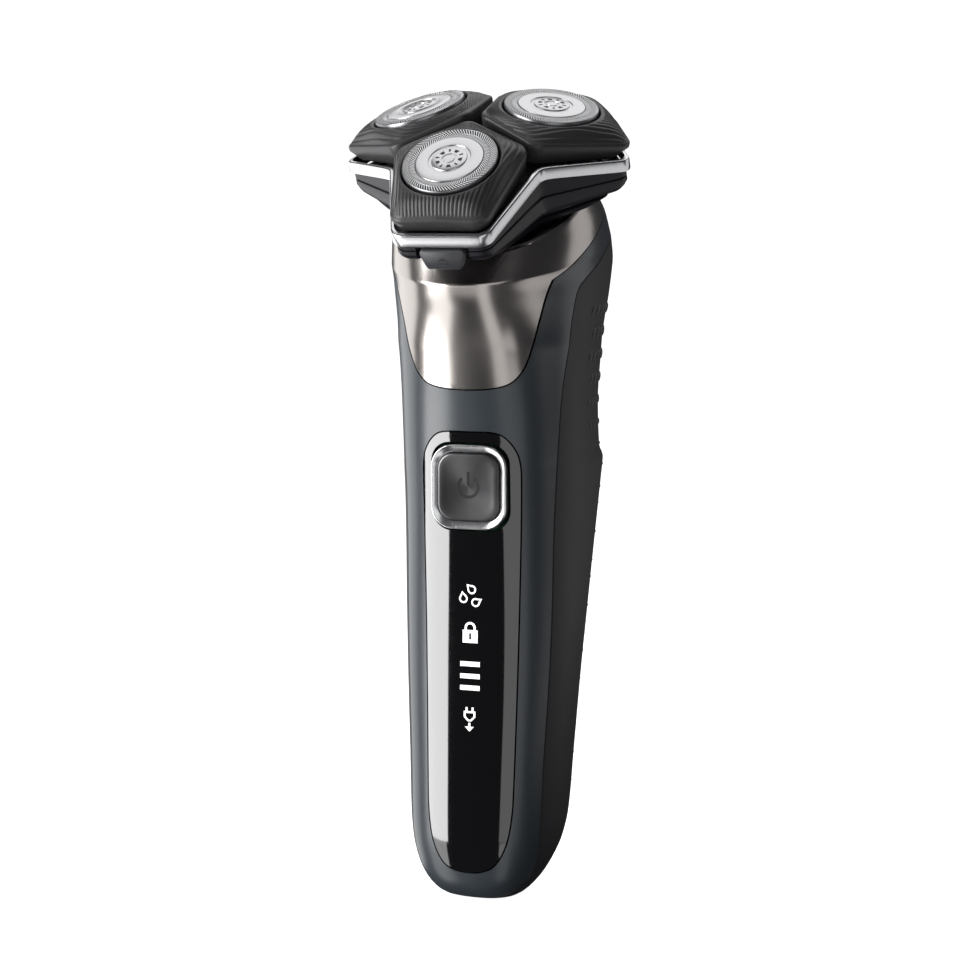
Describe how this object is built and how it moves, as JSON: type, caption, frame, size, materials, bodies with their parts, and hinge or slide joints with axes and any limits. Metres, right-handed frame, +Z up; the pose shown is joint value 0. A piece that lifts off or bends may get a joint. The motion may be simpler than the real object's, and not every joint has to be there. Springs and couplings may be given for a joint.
{
  "type": "rotary electric shaver",
  "caption": "Cordless rotary electric shaver: slate handle with display panel, power button, metal collar and grip, fold-out trimmer, and a pull-off head with tilting shaving pods",
  "frame": {"origin": "centre of the charge socket's flat face, under the foot of the handle", "axes": "+Z up along the lower handle towards the head; -Y is the front with the display; +X is to the right seen from the front"},
  "size_m": [0.0596, 0.0672, 0.1664],
  "materials": {
    "slate_shell": "satin slate-blue paint on ABS",
    "black_rubber": "matt moulded soft-touch rubber",
    "brushed_collar": "vertically brushed warm grey metal",
    "black_gloss": "polished black acrylic",
    "chrome": "bright plated",
    "dark_metal": "dark radially brushed metal",
    "silver_satin": "satin silver",
    "steel": "ground stainless steel",
    "bezel_plastic": "grooved dark grey plastic",
    "chamber_plastic": "semi-gloss black plastic",
    "grey_plastic": "fine-textured grey plastic",
    "white_plastic": "natural acetal",
    "seal_rubber": "silicone rubber",
    "board_green": "solder-masked circuit board",
    "brass": "plated brass",
    "cell_sleeve": "heat-shrink sleeve"
  },
  "bodies": {
    "handle": {"front_shell": "slate_shell", "rear_grip": "black_rubber", "metal_collar": "brushed_collar", "display_window": "black_gloss", "neck_deck": "chamber_plastic", "button_bezel": "chrome", "button_seal": "seal_rubber", "tact_switch": "chamber_plastic", "circuit_board": "board_green", "display_light_guide": "white_plastic", "inner_chassis": "grey_plastic", "battery_cell": "cell_sleeve", "battery_tab_low": "brass", "battery_tab_high": "brass", "chassis_screw_left": "steel", "chassis_screw_right": "steel", "motor_can": "steel", "motor_end_cap": "chamber_plastic", "shaft_seal": "seal_rubber", "charge_socket": "chamber_plastic", "charge_pin_left": "brass", "charge_pin_right": "brass", "socket_seal": "seal_rubber", "trimmer_bay": "chamber_plastic", "trimmer_hinge_pin": "steel"},
    "power_button_body": {"power_button": "dark_metal"},
    "drive": {"motor_rotor": "brass", "drive_coupling": "white_plastic"},
    "trimmer": {"trimmer_housing": "grey_plastic", "trimmer_comb": "steel"},
    "trimmer_blade": {"trimmer_cutter": "dark_metal"},
    "trimmer_latch": {"trimmer_slide": "grey_plastic"},
    "head_base": {"hair_chamber": "chamber_plastic", "gear_cover": "chamber_plastic", "head_hinge_pin": "steel"},
    "release_tab": {"release_button": "grey_plastic"},
    "hub_gear": {"central_gear": "white_plastic"},
    "head_holder": {"trim_ring": "silver_satin", "retaining_frame": "grey_plastic"},
    "spindle_front_body": {"spindle_front": "white_plastic", "spring_front": "steel"},
    "pod_front": {"bezel_front": "bezel_plastic"},
    "pod_front_guard": {"guard_front": "steel", "carrier_front": "grey_plastic"},
    "pod_front_cutter": {"cutter_front": "dark_metal"},
    "spindle_right_body": {"spindle_right": "white_plastic", "spring_right": "steel"},
    "pod_right": {"bezel_right": "bezel_plastic"},
    "pod_right_guard": {"guard_right": "steel", "carrier_right": "grey_plastic"},
    "pod_right_cutter": {"cutter_right": "dark_metal"},
    "spindle_left_body": {"spindle_left": "white_plastic", "spring_left": "steel"},
    "pod_left": {"bezel_left": "bezel_plastic"},
    "pod_left_guard": {"guard_left": "steel", "carrier_left": "grey_plastic"},
    "pod_left_cutter": {"cutter_left": "dark_metal"}
  },
  "joints": [
    {"name": "power_press", "type": "slide", "parent": "handle", "child": "power_button_body", "axis": [0, 1, 0], "range_m": [0, 0.0005], "stiffness_N_per_m": 1500},
    {"name": "drive_spin", "type": "hinge", "parent": "handle", "child": "drive", "pos_m": [0, 0.00936, 0.12356], "axis": [0, -0.454, 0.891], "continuous": true},
    {"name": "trimmer_fold", "type": "hinge", "parent": "handle", "child": "trimmer", "pos_m": [0, 0.0299, 0.0971], "axis": [-1, 0, 0], "range_deg": [0, 62]},
    {"name": "trimmer_stroke", "type": "slide", "parent": "trimmer", "child": "trimmer_blade", "axis": [1, 0, 0], "range_m": [-0.0008, 0.0008]},
    {"name": "trimmer_unlatch", "type": "slide", "parent": "handle", "child": "trimmer_latch", "axis": [0, 0, -1], "range_m": [0, 0.0025], "stiffness_N_per_m": 400},
    {"name": "head_pull", "type": "slide", "parent": "handle", "child": "head_base", "axis": [0, -0.454, 0.891], "range_m": [0, 0.01]},
    {"name": "release_press", "type": "slide", "parent": "head_base", "child": "release_tab", "axis": [0, 0.891, 0.454], "range_m": [0, 0.0008], "stiffness_N_per_m": 1500},
    {"name": "hub_gear_spin", "type": "hinge", "parent": "head_base", "child": "hub_gear", "pos_m": [0, -0.00154, 0.14494], "axis": [0, -0.454, 0.891], "continuous": true},
    {"name": "head_open", "type": "hinge", "parent": "head_base", "child": "head_holder", "pos_m": [0, 0.01897, 0.15887], "axis": [-1, 0, 0], "range_deg": [0, 95]},
    {"name": "spindle_front_spin", "type": "hinge", "parent": "head_base", "child": "spindle_front_body", "pos_m": [0, -0.01472, 0.13822], "axis": [0, -0.454, 0.891], "continuous": true},
    {"name": "pod_front_tilt", "type": "hinge", "parent": "head_holder", "child": "pod_front", "pos_m": [0, -0.02131, 0.14955], "axis": [1, 0, 0], "range_deg": [-4, 4], "stiffness_Nm_per_rad": 0.25},
    {"name": "pod_front_press", "type": "slide", "parent": "pod_front", "child": "pod_front_guard", "axis": [0, 0.6428, -0.766], "range_m": [0, 0.0012], "stiffness_N_per_m": 600},
    {"name": "cutter_front_spin", "type": "hinge", "parent": "pod_front_guard", "child": "pod_front_cutter", "pos_m": [0, -0.02323, 0.15185], "axis": [0, -0.6428, 0.766], "continuous": true},
    {"name": "spindle_right_spin", "type": "hinge", "parent": "head_base", "child": "spindle_right_body", "pos_m": [0.01282, 0.00506, 0.1483], "axis": [0, -0.454, 0.891], "continuous": true},
    {"name": "pod_right_tilt", "type": "hinge", "parent": "head_holder", "child": "pod_right", "pos_m": [0.01345, -0.00056, 0.16012], "axis": [-0.5, 0.7716, 0.3932], "range_deg": [-4, 4], "stiffness_Nm_per_rad": 0.25},
    {"name": "pod_right_press", "type": "slide", "parent": "pod_right", "child": "pod_right_guard", "axis": [-0.1948, 0.3421, -0.9192], "range_m": [0, 0.0012], "stiffness_N_per_m": 600},
    {"name": "cutter_right_spin", "type": "hinge", "parent": "pod_right_guard", "child": "pod_right_cutter", "pos_m": [0.01403, -0.00158, 0.16288], "axis": [0.1948, -0.3421, 0.9192], "continuous": true},
    {"name": "spindle_left_spin", "type": "hinge", "parent": "head_base", "child": "spindle_left_body", "pos_m": [-0.01282, 0.00506, 0.1483], "axis": [0, -0.454, 0.891], "continuous": true},
    {"name": "pod_left_tilt", "type": "hinge", "parent": "head_holder", "child": "pod_left", "pos_m": [-0.01345, -0.00056, 0.16012], "axis": [-0.5, -0.7716, -0.3932], "range_deg": [-4, 4], "stiffness_Nm_per_rad": 0.25},
    {"name": "pod_left_press", "type": "slide", "parent": "pod_left", "child": "pod_left_guard", "axis": [0.1948, 0.3421, -0.9192], "range_m": [0, 0.0012], "stiffness_N_per_m": 600},
    {"name": "cutter_left_spin", "type": "hinge", "parent": "pod_left_guard", "child": "pod_left_cutter", "pos_m": [-0.01403, -0.00158, 0.16288], "axis": [-0.1948, -0.3421, 0.9192], "continuous": true}
  ],
  "couplings": [
    {"joint": "hub_gear_spin", "follows": "drive_spin", "ratio": 1},
    {"joint": "spindle_front_spin", "follows": "drive_spin", "ratio": -1},
    {"joint": "cutter_front_spin", "follows": "drive_spin", "ratio": -1},
    {"joint": "spindle_right_spin", "follows": "drive_spin", "ratio": -1},
    {"joint": "cutter_right_spin", "follows": "drive_spin", "ratio": -1},
    {"joint": "spindle_left_spin", "follows": "drive_spin", "ratio": -1},
    {"joint": "cutter_left_spin", "follows": "drive_spin", "ratio": -1}
  ]
}
